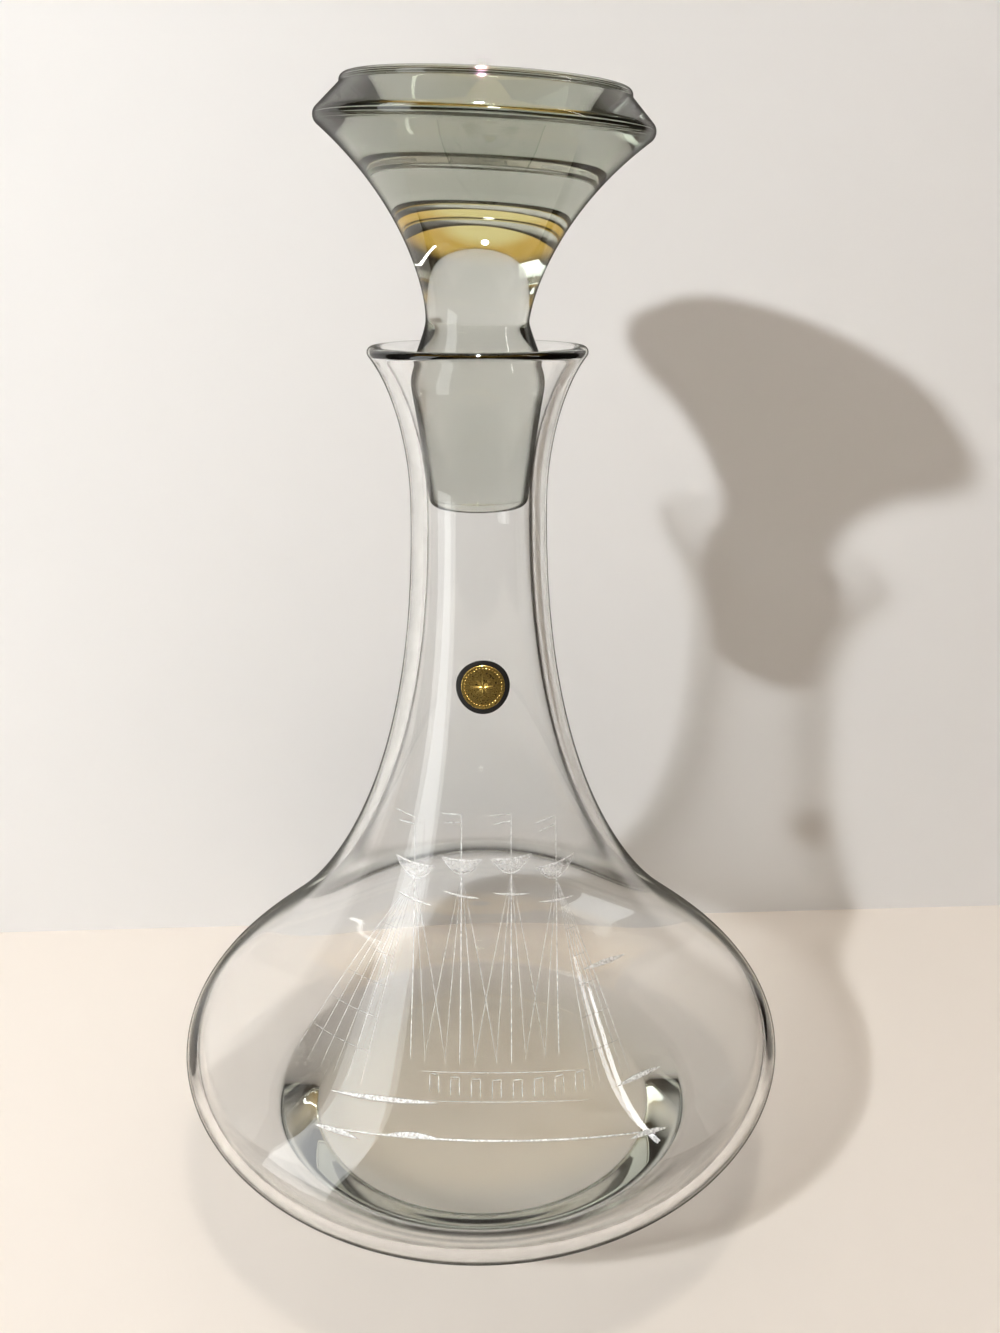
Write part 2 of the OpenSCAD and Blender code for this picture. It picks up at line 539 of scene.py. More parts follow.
@dataclass(frozen=True)
class FoilFinish:
    """Gold lacquered foil with a fine embossed grain, darker in the hollows of its grain."""

    name: str = "gold_leaf"
    bright: Colour = (0.66, 0.47, 0.14)
    dull: Colour = (0.22, 0.14, 0.035)
    roughness: Point = (0.5, 0.22)
    grain: float = 2200.0
    grain_detail: float = 3.0
    grain_depth: float = 0.05 * MM

    def material(self) -> Material:
        """Builds the foil, smooth where it is bright.

        Returns:
            The material.
        """
        material, nodes, foil, _ = blank_material(self.name)
        grain = nodes.grain(self.grain, self.grain_detail)
        surface = {
            "Base Color": nodes.blend(nodes.spread(grain, 0.0, 1.0), self.dull, self.bright),
            "Metallic": 1.0,
            "Roughness": nodes.spread(grain, *self.roughness),
            "Normal": nodes.bump(grain, self.grain_depth),
        }
        nodes.give(foil, surface)
        return material


@dataclass(frozen=True)
class InkFinish:
    """Black print on the label's border, with a slight sheen."""

    name: str = "label_black"
    colour: Colour = (0.012, 0.011, 0.01)
    roughness: Point = (0.3, 0.5)
    grain: float = 3000.0

    def material(self) -> Material:
        """Builds the print.

        Returns:
            The material.
        """
        material, nodes, ink, _ = blank_material(self.name)
        sheen = nodes.spread(nodes.grain(self.grain), *self.roughness)
        nodes.give(ink, {"Base Color": self.colour, "Roughness": sheen})
        return material


@dataclass(frozen=True)
class StageFinish:
    """Plain matt surface of the floor or the backdrop, which goes over into the background far out."""

    name: str
    colour: Colour
    far_colour: Colour
    background: Colour
    bright_field: tuple[Point, Point]
    fade: float = 60 * MM
    matt_reach: Point = (420 * MM, 600 * MM)
    roughness: float = 0.9
    specular: float = 0.1
    one_sided: bool = False

    def far_share(self, nodes: Nodes) -> Socket:
        """How far a place that is mirrored in glass lies outside the bright field round the object.

        Args:
            nodes: The material's nodes.

        Returns:
            Socket with 0 in the field and for direct sight, and 1 well outside it.
        """
        axes = nodes.add("ShaderNodeSeparateXYZ", {"Vector": nodes.place()}).outputs
        _, mirrored = nodes.seen_in_glass()
        sides = [
            nodes.ramp(axes[axis], edge, edge + way * self.fade)
            for axis, ends in zip("XY", self.bright_field)
            for edge, way in zip(ends, (-1, 1))
        ]
        outside = sides[0]
        for side in sides[1:]:
            outside = nodes.combine(Sum.HIGHER, outside, side)
        return nodes.combine(Sum.TIMES, outside, mirrored)

    def background_share(self, nodes: Nodes) -> Socket:
        """How far a place goes over into the background, seen directly or straight through glass.

        Args:
            nodes: The material's nodes.

        Returns:
            Socket with 0 near the object and 1 far out.
        """
        away = nodes.add("ShaderNodeVectorMath", {0: nodes.place()}, operation="LENGTH").outputs["Value"]
        seen, mirrored = nodes.seen_in_glass()
        through = nodes.combine(Sum.MINUS, seen, mirrored)
        direct = nodes.add("ShaderNodeLightPath").outputs["Is Camera Ray"]
        plain = nodes.combine(Sum.HIGHER, direct, through)
        return nodes.combine(Sum.TIMES, nodes.ramp(away, *self.matt_reach), plain)

    def material(self) -> Material:
        """Builds the surface, clear from behind where it is one-sided.

        Returns:
            The material.
        """
        material, nodes, matt, output = blank_material(self.name)
        tone = nodes.blend(self.far_share(nodes), self.colour, self.far_colour)
        look = {"Base Color": tone, "Roughness": self.roughness, "Specular IOR Level": self.specular}
        nodes.give(matt, look)
        far_out = nodes.add("ShaderNodeEmission", {"Color": self.background}).outputs["Emission"]
        surface = nodes.mix(self.background_share(nodes), matt.outputs["BSDF"], far_out)
        if self.one_sided:
            behind = nodes.add("ShaderNodeNewGeometry").outputs["Backfacing"]
            surface = nodes.mix(behind, surface, nodes.clear((1.0, 1.0, 1.0)))
        nodes.give(output, {"Surface": surface})
        return material


# The vessel


@dataclass
class Vessel:
    """The blown-glass body: foot, bulb, shoulder, neck and flared lip in one wall of glass."""

    bulb_d: float = 178 * MM
    bulb_h: float = 39 * MM
    bulb_rise: float = 22 * MM
    bulb_drop: float = 12 * MM
    bulb_wall: float = 2.6 * MM
    foot_d: float = 100 * MM
    foot_w: float = 8 * MM
    punt_h: float = 1.5 * MM
    heel_round: float = 4 * MM
    heel_angle: float = 40.0
    heel_reach: float = 23 * MM
    floor_h: float = 14 * MM
    floor_lap: float = 12 * MM
    floor_round: float = 6 * MM
    floor_angle: float = 34.0
    floor_reach: float = 11 * MM
    floor_drop: float = 8 * MM
    neck_d: float = 35.8 * MM
    neck_h: float = 199 * MM
    neck_reach: float = 131 * MM
    neck_wall: float = 4.3 * MM
    lip_d: float = 55.4 * MM
    lip_h: float = 238 * MM
    lip_edge: float = 3 * MM
    lip_angle: float = 37.0
    lip_pull: float = 10 * MM
    lip_start: float = 13.6 * MM
    wander: float = 0.12 * MM
    wander_cell: float = 45 * MM
    # Slants at which the painted outline starts.
    outline: float = 0.72
    low_outline: float = 0.5
    normal_step: float = 0.2 * MM
    sides: int = 192
    flat_steps: int = 10
    turn_steps: int = 10
    rise_steps: int = 30
    shoulder_steps: int = 90
    lip_steps: int = 30
    edge_steps: int = 12
    finish: GlassFinish = GlassFinish("vessel_glass")

    def rise(
        self, flat: Point, turn: float, angle: float, reach: float, wide: float, drop: float
    ) -> list[Point]:
        """Rise from a flat ring, round a turn and out to the widest ring, without its last point.

        Args:
            flat: Edge of the flat ring.
            turn: Radius of the turn up from it.
            angle: Slope at the end of the turn, in degrees.
            reach: How far the rise holds that slope.
            wide: Radius of the widest ring.
            drop: How far the rise holds upright below the widest ring.

        Returns:
            The points in order.
        """
        heel = arc((flat[0], flat[1] + turn), turn, -90, angle - 90, self.turn_steps)
        (r, z), slope = heel[-1], math.radians(angle)
        start = (r + reach * math.cos(slope), z + reach * math.sin(slope))
        curve = [heel[-1], start, (wide, self.bulb_h - drop), (wide, self.bulb_h)]
        return heel[:-1] + cubic(curve, self.rise_steps)

    def shoulder_curve(self, wide: float, narrow: float) -> list[Point]:
        """Control points of the shoulder, from the widest ring up to the neck's narrowest ring."""
        return [
            (wide, self.bulb_h),
            (wide, self.bulb_h + self.bulb_rise),
            (narrow, self.neck_h - self.neck_reach),
            (narrow, self.neck_h),
        ]

    def lip_curve(self, narrow: float, end: Point) -> list[Point]:
        """Control points of the flare, from the neck's narrowest ring out to the lip's rounded edge."""
        lean = math.radians(self.lip_angle)
        return [
            (narrow, self.neck_h),
            (narrow, self.neck_h + self.lip_start),
            (end[0] - self.lip_pull * math.sin(lean), end[1] - self.lip_pull * math.cos(lean)),
            end,
        ]

    @property
    def floor_r(self) -> float:
        """Radius of the flat floor inside."""
        return self.foot_d / 2 + self.floor_lap

    @property
    def edge_middle(self) -> Point:
        """Middle of the rounded edge of the lip."""
        return (self.lip_d / 2 - self.lip_edge / 2, self.lip_h - self.lip_edge / 2)

    def edge_point(self, angle: float) -> Point:
        """Point on the lip's rounded edge at an angle in degrees."""
        return arc(self.edge_middle, self.lip_edge / 2, angle, angle, 1)[0]

    @property
    def bore_curve(self) -> list[Point]:
        """Inner curve of the lip, in which the stopper seats."""
        return self.lip_curve(self.neck_d / 2 - self.neck_wall, self.edge_point(180 - self.lip_angle))

    def outer_radius(self, height: float) -> float:
        """Outer radius of the shoulder and neck at a height."""
        curve = self.shoulder_curve(self.bulb_d / 2, self.neck_d / 2)
        return cubic_at(curve, share_at(curve, height))[0]

    def front_point(self, x: float, height: float, lift: float = 0.0) -> Vector:
        """Point at the front, a distance right of the axis and at a height, lifted off the glass."""
        radius = self.outer_radius(height) + lift
        return Vector((x, -math.sqrt(max(radius * radius - x * x, 0.0)), height))

    def front_normal(self, x: float, height: float) -> Vector:
        """Outward direction of the glass at a point on its front.

        Args:
            x: Distance to the right of the axis.
            height: Height above the table.

        Returns:
            The unit direction.
        """
        step = self.normal_step
        up = self.front_point(x, height + step) - self.front_point(x, height - step)
        along = self.front_point(x + step, height) - self.front_point(x - step, height)
        return along.cross(up).normalized()

    def outer_profile(self) -> list[Point]:
        """Outer face of the wall.

        Returns:
            Its points from the foot up to the lip.
        """
        wide, narrow = self.bulb_d / 2, self.neck_d / 2
        foot = (self.foot_d / 2, 0.0)
        return [
            *self.rise(foot, self.heel_round, self.heel_angle, self.heel_reach, wide, self.bulb_drop),
            *cubic(self.shoulder_curve(wide, narrow), self.shoulder_steps),
            *cubic(self.lip_curve(narrow, self.edge_point(-self.lip_angle)), self.lip_steps),
        ]

    def inner_profile(self) -> list[Point]:
        """Inner face of the wall.

        Returns:
            Its points from the floor up to the lip.
        """
        wide, narrow = self.bulb_d / 2 - self.bulb_wall, self.neck_d / 2 - self.neck_wall
        floor = (self.floor_r, self.floor_h)
        return [
            *self.rise(floor, self.floor_round, self.floor_angle, self.floor_reach, wide, self.floor_drop),
            *cubic(self.shoulder_curve(wide, narrow), self.shoulder_steps),
            *cubic(self.bore_curve, self.lip_steps),
        ]

    def profile(self) -> list[Point]:
        """The whole wall.

        Returns:
            Its points from the middle of the hollow underneath round to the middle of the floor.
        """
        punt_r = self.foot_d / 2 - self.foot_w
        shares = [i / self.flat_steps for i in range(self.flat_steps + 1)]
        edge = (-self.lip_angle, 180 - self.lip_angle)
        return [
            *((punt_r * s, self.punt_h * (1 - s * s)) for s in shares),
            *self.outer_profile(),
            *arc(self.edge_middle, self.lip_edge / 2, *edge, self.edge_steps),
            *reversed(self.inner_profile()),
            *((self.floor_r * (1 - s), self.floor_h) for s in shares[1:]),
        ]

    def outline_slant(self, radius: float, height: float) -> float:
        """Slant at which the painted outline starts, lower on the underside of the bulb outside the base.

        Args:
            radius: Distance from the axis.
            height: Height above the table.

        Returns:
            The slant, from 0 face on to 1 edge on.
        """
        outside = smooth_step((radius - self.floor_r) / self.floor_lap)
        under = smooth_step((self.bulb_h - self.bulb_drop - height) / self.bulb_drop)
        return self.outline + (self.low_outline - self.outline) * outside * under

    def build(self) -> Object:
        """Turns the wall, with the slight wander of hand-blown glass on its inner face.

        Returns:
            The vessel.
        """
        inner = set(self.inner_profile())

        def place(radius: float, height: float, angle: float) -> Vector:
            """Point in space.

            Args:
                radius: Distance from the axis.
                height: Height above the table.
                angle: Angle round the axis.

            Returns:
                The point.
            """
            way, up = Vector((math.cos(angle), math.sin(angle), 0.0)), Vector((0, 0, height))
            if (radius, height) in inner and height < self.neck_h - self.lip_start:
                radius += self.wander * noise.noise((way * radius + up) / self.wander_cell)
            return way * radius + up

        piece = lathe("glass_vessel", self.profile(), self.sides, place)
        outlined(piece, self.outline_slant)
        piece.data.materials.append(self.finish.material())
        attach(piece, Body.DECANTER.value)
        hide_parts("decanter_body")
        return piece


# The stopper


@dataclass
class Stopper:
    """The solid glass stopper: tapered plug, waist and leaning flared head."""

    vessel: Vessel
    seat_depth: float = 30 * MM
    fit: float = 0.25 * MM
    plug_depth: float = 40 * MM
    plug_top: float = 10 * MM
    plug_pull: float = 5 * MM
    tip_round: float = 3 * MM
    waist_d: float = 25.8 * MM
    waist_h: float = 6 * MM
    waist_drop: float = 3 * MM
    waist_rise: float = 5 * MM
    head_d: float = 79.6 * MM
    rim_h: float = 49.6 * MM
    rim_round: float = 2.4 * MM
    flare_angle: float = 52.0
    flare_pull: float = 27 * MM
    bevel_angle: float = 45.0
    land_d: float = 67.6 * MM
    land_h: float = 58.4 * MM
    land_round: float = 1.4 * MM
    step_round: float = 0.8 * MM
    head_lean: float = 3.7
    lean_towards: float = -42.0
    lean_spread: float = 3 * MM
    # Slants at which the painted outline starts.
    outline: float = 0.7
    plug_outline: float = 0.48
    slope_share: float = 0.001
    sides: int = 160
    tip_steps: int = 6
    side_steps: int = 10
    waist_steps: int = 24
    flare_steps: int = 60
    rim_steps: int = 14
    step_steps: int = 4
    round_steps: int = 8
    flat_steps: int = 8
    # Painted shade on the stopper: a dark edge tint, and a dark first rim as well as a dark outer rim in
    # its outline.
    finish: GlassFinish = GlassFinish(
        "solid_glass",
        painted_edge_shade=(0.14, 0.15, 0.14),
        edge_shade_start=0.66,
        absorb_colour=(0.68, 0.7, 0.64),
        absorb_density=38.0,
        shadow_face=0.42,
        shadow_edge=0.2,
        outline_fade=0.2,
        painted_rim_tint=(0.08, 0.075, 0.06),
    )

    def plug_profile(self) -> list[Point]:
        """Plug, which follows the slope of the bore at its seat.

        Returns:
            Its points from the middle of its tip up to the waist.
        """
        lip, bore = self.vessel.lip_h, self.vessel.bore_curve
        seat = lip - self.seat_depth
        share = share_at(bore, seat)
        below, above = (cubic_at(bore, share + way * self.slope_share) for way in (-1, 1))
        slope = (above[0] - below[0]) / (above[1] - below[1])
        seat_r = cubic_at(bore, share)[0] - self.fit

        def side(height: float) -> Point:
            """Point on the plug's straight side at a height."""
            return (seat_r + slope * (height - seat), height)

        tip, top, waist = lip - self.plug_depth, lip - self.plug_top, lip + self.waist_h
        taper = math.atan(slope)
        corner_r = side(tip + self.tip_round)[0] - self.tip_round / math.cos(taper)
        corner = (corner_r, tip + self.tip_round)
        tip_arc = arc(corner, self.tip_round, -90, -math.degrees(taper), self.round_steps)
        waist_r = self.waist_d / 2
        waist_low = (waist_r, waist - self.waist_drop)
        draw_in = [side(top), side(top + self.plug_pull), waist_low, (waist_r, waist)]
        return [
            (0.0, tip),
            *between((0.0, tip), (corner_r, tip), self.tip_steps),
            *tip_arc,
            *between(tip_arc[-1], side(top), self.side_steps),
            *cubic(draw_in, self.waist_steps),
        ]

    def head_profile(self) -> list[Point]:
        """Head, with its flare, rim, bevel and raised land.

        Returns:
            Its points from the waist up to the middle of its flat top.
        """
        lip, waist_r = self.vessel.lip_h, self.waist_d / 2
        waist, flare = lip + self.waist_h, math.radians(self.flare_angle)
        rim_middle = (self.head_d / 2 - self.rim_round, lip + self.rim_h)
        rim = arc(rim_middle, self.rim_round, -self.flare_angle, self.bevel_angle, self.rim_steps)
        (start_r, start_z), (end_r, end_z) = rim[0], rim[-1]
        trumpet = [
            (waist_r, waist),
            (waist_r, waist + self.waist_rise),
            (start_r - self.flare_pull * math.sin(flare), start_z - self.flare_pull * math.cos(flare)),
            rim[0],
        ]
        land_r, land_z = self.land_d / 2, lip + self.land_h
        bevel = math.radians(self.bevel_angle)
        foot_z = end_z + (end_r - land_r) / math.tan(bevel)
        step_middle = (land_r + self.step_round, foot_z + self.step_round * math.tan(bevel / 2))
        step = arc(step_middle, self.step_round, 180 + self.bevel_angle, 180, self.step_steps)
        flat_r = land_r - self.land_round
        return [
            *cubic(trumpet, self.flare_steps),
            *rim,
            *between(rim[-1], step[0], self.flat_steps),
            *step,
            *arc((flat_r, land_z - self.land_round), self.land_round, 0, 90, self.round_steps),
            *between((flat_r, land_z), (0.0, land_z), self.flat_steps),
            (0.0, land_z),
        ]

    def outline_slant(self, _radius: float, height: float) -> float:
        """Slant at which the painted outline starts, lower on the plug."""
        share = smooth_step((height - self.vessel.lip_h) / (2 * self.waist_h))
        return self.plug_outline + (self.outline - self.plug_outline) * share

    def build(self) -> Object:
        """Turns the stopper, with the head leaning over from the waist.

        Returns:
            The stopper.
        """
        pivot = Vector((0, 0, self.vessel.lip_h + self.waist_h))
        towards = math.radians(self.lean_towards)
        hinge = Vector((-math.sin(towards), math.cos(towards), 0.0))

        def place(radius: float, height: float, angle: float) -> Vector:
            """Point in space.

            Args:
                radius: Distance from the axis.
                height: Height above the table.
                angle: Angle round the axis.

            Returns:
                The point.
            """
            spot = Vector((radius * math.cos(angle), radius * math.sin(angle), height))
            share = smooth_step((height - pivot.z) / (2 * self.lean_spread) + 0.5)
            turn = Matrix.Rotation(math.radians(self.head_lean) * share, 3, hinge)
            return pivot + turn @ (spot - pivot)

        piece = lathe("glass_stopper", [*self.plug_profile(), *self.head_profile()], self.sides, place)
        outlined(piece, self.outline_slant)
        piece.data.materials.append(self.finish.material())
        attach(piece, Body.STOPPER.value)
        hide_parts("stopper")
        return piece


# The label


def bead_ring() -> Grower:
    """Node group that sets beads round a ring.

    Returns:
        The group.
    """
    length = "NodeSocketFloat"
    group = Grower("bead_ring", {"Count": "NodeSocketInt", "Ring Radius": length, "Bead Radius": length})
    add, given = group.nodes.add, group.given
    ring = add("GeometryNodeMeshCircle", {"Vertices": given["Count"], "Radius": given["Ring Radius"]})
    ball = {"Radius": given["Bead Radius"], "Subdivisions": BEAD_SUBDIVISIONS}
    bead = add("GeometryNodeMeshIcoSphere", ball)
    spread = {"Points": ring.outputs["Mesh"], "Instance": bead.outputs["Mesh"]}
    group.end(add("GeometryNodeInstanceOnPoints", spread).outputs["Instances"])
    return group


@dataclass
class FoilLabel:
    """The round label: a black backing with an embossed gold disc, on the front of the neck."""

    vessel: Vessel
    diameter: float = 14 * MM
    height: float = 154.5 * MM
    turn: float = 3.3
    glue: float = 0.05 * MM
    backing_t: float = 0.12 * MM
    foil_d: float = 11.4 * MM
    foil_t: float = 0.08 * MM
    rim_w: float = 0.45 * MM
    rim_rise: float = 0.08 * MM
    beads: int = 36
    bead_r: float = 0.2 * MM
    bead_ring_r: float = 4.85 * MM
    star_points: int = 8
    star_r: float = 3.9 * MM
    star_rise: float = 0.24 * MM
    star_core: float = 0.22
    star_fall: float = 0.7
    short_point: float = 0.72
    point_curve: float = 1.6
    rays: int = 48
    ray_rise: float = 0.03 * MM
    edge_angle: float = 60.0
    edge_steps: int = 4
    backing_rings: int = 8
    foil_rings: int = 44
    sides: int = 144
    ink: InkFinish = InkFinish()
    foil: FoilFinish = FoilFinish()

    def on_neck(self, u: float, v: float, lift: float) -> Vector:
        """Point on the label, by distances right of and above its middle, lifted off the glass."""
        spot = self.vessel.front_point(u, self.height + v, lift)
        return Matrix.Rotation(math.radians(self.turn), 3, "Z") @ spot

    def relief(self, radius: float, angle: float) -> float:
        """Height of the embossing above the foil: a rim, a star and fine rays round it.

        Args:
            radius: Distance from the label's middle.
            angle: Angle round the label.

        Returns:
            The height.
        """
        rim_inner = self.foil_d / 2 - self.rim_w
        if radius > rim_inner:
            return self.rim_rise * math.sin(math.pi * min(1.0, (radius - rim_inner) / self.rim_w))
        sector = math.tau / self.star_points
        turn = abs((angle + sector / 2) % sector - sector / 2) / (sector / 2)
        length = 1.0 if round(angle / sector) % 2 == 0 else self.short_point
        reach = self.star_r * (length * (1 - turn) ** self.point_curve + self.star_core)
        if radius < reach:
            return self.star_rise * (1 - radius / reach) * (1 - self.star_fall * turn)
        return self.ray_rise * max(0.0, math.cos(self.rays * angle))

    def disc(
        self, name: str, back: float, front: float, radius: float, rings: int, embossed: bool = False
    ) -> Object:
        """A thin round sheet that follows the neck.

        Args:
            name: The piece's name.
            back: How far its back stands off the glass.
            front: How far its front stands off the glass.
            radius: Its radius.
            rings: Rings of faces on its front.
            embossed: Whether its front carries the relief.

        Returns:
            The new piece.
        """
        edge = (front - back) / 2
        flat_r = radius - edge
        profile = [
            (0.0, back),
            (flat_r, back),
            *arc((flat_r, back + edge), edge, -self.edge_angle, self.edge_angle, self.edge_steps),
            *((flat_r * (1 - i / rings), front) for i in range(rings + 1)),
        ]

        def place(r: float, lift: float, angle: float) -> Vector:
            """Point in space from a distance from the middle, a lift and an angle."""
            if embossed and lift >= front:
                lift += self.relief(r, angle)
            return self.on_neck(r * math.cos(angle), r * math.sin(angle), lift)

        return lathe(name, profile, self.sides, place)

    def build(self) -> list[Object]:
        """Builds the backing, the gold disc and its ring of beads.

        Returns:
            The three pieces.
        """
        on_glass = self.glue + self.backing_t
        front = on_glass + self.foil_t
        backing = self.disc("label_backing", self.glue, on_glass, self.diameter / 2, self.backing_rings)
        backing.data.materials.append(self.ink.material())
        gold = self.foil.material()
        foil = self.disc("label_foil", on_glass, front, self.foil_d / 2, self.foil_rings, embossed=True)
        foil.data.materials.append(gold)
        values = {
            "Count": self.beads,
            "Ring Radius": self.bead_ring_r,
            "Bead Radius": self.bead_r,
            "Material": gold,
        }
        beads = bead_ring().grow("label_beads", bpy.data.meshes.new("label_beads_base"), values)
        for vertex in beads.data.vertices:
            u, v, lift = vertex.co
            vertex.co = self.on_neck(u, v, front + lift)
        beads.data.update()
        pieces = [backing, foil, beads]
        for piece in pieces:
            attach(piece, Body.DECANTER.value)
            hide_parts("neck_label")
        return pieces


# The engraving


def cut_lines() -> Grower:
    """Node group that turns polylines into shallow lens-shaped strokes along the glass.

    Returns:
        The group.
    """
    group = Grower("cut_lines", {"Flatness": "NodeSocketFloat"})
    add, given = group.nodes.add, group.given
    attribute = "GeometryNodeInputNamedAttribute"
    width = add(attribute, {"Name": HALF_WIDTH}, data_type="FLOAT").outputs["Attribute"]
    out = add(attribute, {"Name": OUT_OF_GLASS}, data_type="FLOAT_VECTOR").outputs["Attribute"]
    path = add("GeometryNodeMeshToCurve", {"Mesh": given["Geometry"]}).outputs["Curve"]
    faced = add("GeometryNodeSetCurveNormal", {"Curve": path, "Normal": out}, mode="FREE").outputs["Curve"]
    circle = {"Resolution": STROKE_SIDES, "Radius": 1.0}
    section = add("GeometryNodeCurvePrimitiveCircle", circle).outputs["Curve"]
    squeeze = add("ShaderNodeCombineXYZ", {"X": given["Flatness"], "Y": 1.0, "Z": 1.0}).outputs["Vector"]
    lens = add("GeometryNodeTransform", {"Geometry": section, "Scale": squeeze}).outputs["Geometry"]
    sweep = {"Curve": faced, "Profile Curve": lens, "Scale": width, "Fill Caps": True}
    group.end(add("GeometryNodeCurveToMesh", sweep).outputs["Mesh"])
    return group


@dataclass(frozen=True)
class Cut:
    """A way to use the engraver's wheel: its width, its frost, how its ends thin out and how it sags."""

    width: float
    frost: float = 1.0
    taper: float = 0.5
    sag: float = 0.0
    thinnest: float = 0.08


@dataclass(frozen=True)
class Stroke:
    """One pull of the engraver's wheel, drawn as seen from the front."""

    start: Point
    end: Point
    cut: Cut

    def at(self, t: float) -> Point:
        """Distance right of the axis and height at a share of the way along the stroke."""
        (x0, z0), (x1, z1) = self.start, self.end
        return (x0 + (x1 - x0) * t, z0 + (z1 - z0) * t - self.cut.sag * 4 * t * (1 - t))

    def half_width(self, t: float) -> float:
        """Half the stroke's width along it, thin at both ends."""
        return self.cut.width / 2 * max(self.cut.thinnest, (4 * t * (1 - t)) ** self.cut.taper)


@dataclass
class EngravedShip:
    """A sailing ship cut into the front of the shoulder in fine frosted lines."""

    vessel: Vessel
    masts: tuple[float, ...] = (-17 * MM, -4.5 * MM, 8.5 * MM, 20.5 * MM)
    mast_tops: tuple[float, ...] = (119.5 * MM, 122 * MM, 122 * MM, 118.5 * MM)
    mast_foot: float = 69 * MM
    mast_cut: Cut = Cut(0.32 * MM, frost=0.9, taper=0.2)
    pennants: tuple[Point, ...] = ((0.4 * MM, 5.5 * MM), (2.2 * MM, 4.5 * MM))
    pennant_fall: float = 1.2
    pennant_cut: Cut = Cut(0.4 * MM, frost=0.7)
    top_drop: float = 11 * MM
    top_half: float = 5.4 * MM
    top_depth: float = 3.8 * MM
    top_cuts: tuple[Cut, ...] = (
        Cut(0.512 * MM, sag=0.4 * MM),
        Cut(0.32 * MM, frost=0.8, sag=top_depth),
        Cut(3.04 * MM, frost=0.35, taper=1.0, sag=top_depth / 2),
    )
    yard_drop: float = 19.5 * MM
    yard_half: float = 4.8 * MM
    yard_tilt: float = 0.6 * MM
    yard_cut: Cut = Cut(0.576 * MM, frost=0.8, taper=0.7, sag=0.2 * MM)
    stays: tuple[tuple[float, Cut], ...] = (
        (0.3, Cut(0.2 * MM, frost=0.75)),
        (0.72, Cut(0.2 * MM, frost=0.6)),
    )
    shrouds: int = 6
    shroud_cut: Cut = Cut(0.2 * MM, frost=0.8)
    rungs: int = 6
    first_rung: int = 2
    rung_cut: Cut = Cut(0.16 * MM, frost=0.4)
    fan_foot: float = 62.5 * MM
    left_fan: Point = (-29.6 * MM, -48.5 * MM)
    right_fan: Point = (29.0 * MM, 39.0 * MM)
    ports: int = 8
    port_inset: float = 3.12 * MM
    port_gap: float = 5.2 * MM
    port_h: float = 3.0 * MM
    port_w: float = 2.2 * MM
    port_sill: float = 1.6 * MM
    port_cut: Cut = Cut(0.3 * MM, frost=0.5)
    band_left: Point = (-15 * MM, 62.8 * MM)
    band_right: Point = (28.5 * MM, 61 * MM)
    band_h: float = 4.6 * MM
    band_cut: Cut = Cut(0.2 * MM, frost=0.6, sag=-1.2 * MM)
    hull_left: Point = (-40.7 * MM, 54.8 * MM)
    hull_right: Point = (47.4 * MM, 52.5 * MM)
    hull_cut: Cut = Cut(0.48 * MM, frost=0.8, taper=0.3, sag=-3.8 * MM)
    leaves: tuple[tuple[Point, Point], ...] = (
        (hull_left, (-29.5 * MM, 55.2 * MM)),
        ((-37.2 * MM, 60.5 * MM), (-9.7 * MM, 62.8 * MM)),
        ((-22 * MM, 57 * MM), (-10 * MM, 57.6 * MM)),
        ((27.4 * MM, 82.8 * MM), (39.5 * MM, 81.2 * MM)),
        ((35.2 * MM, 61.5 * MM), (47.2 * MM, 61 * MM)),
        ((38 * MM, 53.4 * MM), hull_right),
    )
    leaf_cut: Cut = Cut(1.3 * MM, frost=0.85, taper=0.9, sag=-0.3 * MM)
    lift: float = 0.03 * MM
    step: float = 1.2 * MM
    least_steps: int = 6
    flatness: float = 0.05
    finish: CutFinish = CutFinish()

    @property
    def mast_heads(self) -> list[float]:
        """Heights at which the rigging leaves the masts, below their tops."""
        return [top - self.top_drop - self.top_depth for top in self.mast_tops]

    def mast_strokes(self) -> Iterator[Stroke]:
        """Masts, each with two pennants, a bowl-shaped top and a yard.

        Yields:
            The strokes, mast by mast.
        """
        for x, top in zip(self.masts, self.mast_tops):
            yield Stroke((x, self.mast_foot), (x, top), self.mast_cut)
            for drop, reach in self.pennants:
                tail = (x - reach, top - self.pennant_fall * drop)
                yield Stroke((x, top - drop), tail, self.pennant_cut)
            bowl_h, half = top - self.top_drop, self.top_half
            bowl = (x - half, bowl_h), (x + half, bowl_h)
            for cut in self.top_cuts:
                yield Stroke(*bowl, cut)
            yard_h, half = top - self.yard_drop, self.yard_half
            yard = (x - half, yard_h + self.yard_tilt), (x + half, yard_h - self.yard_tilt)
            yield Stroke(*yard, self.yard_cut)

    def rigging_strokes(self) -> Iterator[Stroke]:
        """Stays between the masts, and the shrouds with their rungs that fan down at both ends.

        Yields:
            The strokes, the stays first.
        """
        heads = self.mast_heads
        for k in range(len(self.masts) - 1):
            left, right = self.masts[k], self.masts[k + 1]
            for share, cut in self.stays:
                reach = share * (right - left)
                yield Stroke((left, heads[k]), (left + reach, self.mast_foot), cut)
                yield Stroke((right, heads[k + 1]), (right - reach, self.mast_foot), cut)
        for k, (near, far) in ((0, self.left_fan), (-1, self.right_fan)):
            mast, head = self.masts[k], heads[k]
            for shroud in range(self.shrouds):
                foot = near + (far - near) * shroud / (self.shrouds - 1)
                yield Stroke((mast, head), (foot, self.fan_foot), self.shroud_cut)
            for rung in range(self.first_rung, self.rungs + 1):
                share = rung / (self.rungs + 1)
                height = head + (self.fan_foot - head) * share
                ends = (mast + (near - mast) * share, height), (mast + (far - mast) * share, height)
                yield Stroke(*ends, self.rung_cut)

